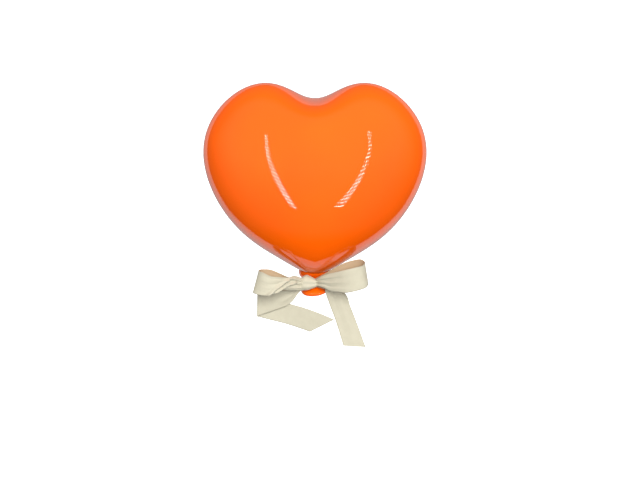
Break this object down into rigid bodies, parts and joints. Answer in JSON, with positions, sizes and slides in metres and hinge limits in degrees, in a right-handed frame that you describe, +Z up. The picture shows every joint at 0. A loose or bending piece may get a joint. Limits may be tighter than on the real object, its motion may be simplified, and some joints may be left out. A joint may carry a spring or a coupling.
{
  "type": "heart balloon wall ornament",
  "caption": "Glossy heart-shaped balloon ornament with a neck, a rolled lip and a satin ribbon bow, hung on a wall by a hinged D-ring in a pocket in its back.",
  "frame": {"origin": "the hanging eye: the top of the D-ring's opening, on the wall plane", "axes": "+Z up, +Y into the wall, the front of the heart faces -Y, +X to the viewer's right"},
  "size_m": [0.221, 0.1034, 0.2644],
  "materials": {
    "heart_gloss": "high gloss lacquer",
    "neck_gloss": "high gloss lacquer",
    "strap_steel": "nickel plated, satin",
    "ring_steel": "nickel plated wire",
    "screw_steel": "zinc plated",
    "bumper_pad": "translucent soft pad",
    "band_satin": "cream satin ribbon",
    "knot_satin": "cream satin ribbon",
    "loop_left_satin": "cream satin ribbon",
    "loop_right_satin": "cream satin ribbon",
    "tail_left_satin": "cream satin ribbon",
    "tail_right_satin": "cream satin ribbon"
  },
  "bodies": {
    "balloon": {"front_shell": "heart_gloss", "back_shell": "heart_gloss", "neck_and_lip": "neck_gloss", "hanger_strap": "strap_steel", "hanger_screws": "screw_steel", "wall_bumpers": "bumper_pad", "neck_band": "band_satin", "bow_knot": "knot_satin", "bow_loop_left": "loop_left_satin", "bow_loop_right": "loop_right_satin"},
    "ring": {"hanger_ring": "ring_steel"},
    "left_tail": {"tail_left": "tail_left_satin"},
    "right_tail": {"tail_right": "tail_right_satin"}
  },
  "joints": [
    {"name": "ring_swing", "type": "hinge", "parent": "balloon", "child": "ring", "pos_m": [0, -0.00654, -0.013], "axis": [-1, 0, 0], "range_deg": [0, 150]},
    {"name": "left_tail_lift", "type": "hinge", "parent": "balloon", "child": "left_tail", "pos_m": [0, -0.04855, -0.15264], "axis": [-1, 0, 0], "range_deg": [0, 22]},
    {"name": "right_tail_lift", "type": "hinge", "parent": "balloon", "child": "right_tail", "pos_m": [0, -0.05155, -0.15964], "axis": [-1, 0, 0], "range_deg": [0, 60]}
  ]
}
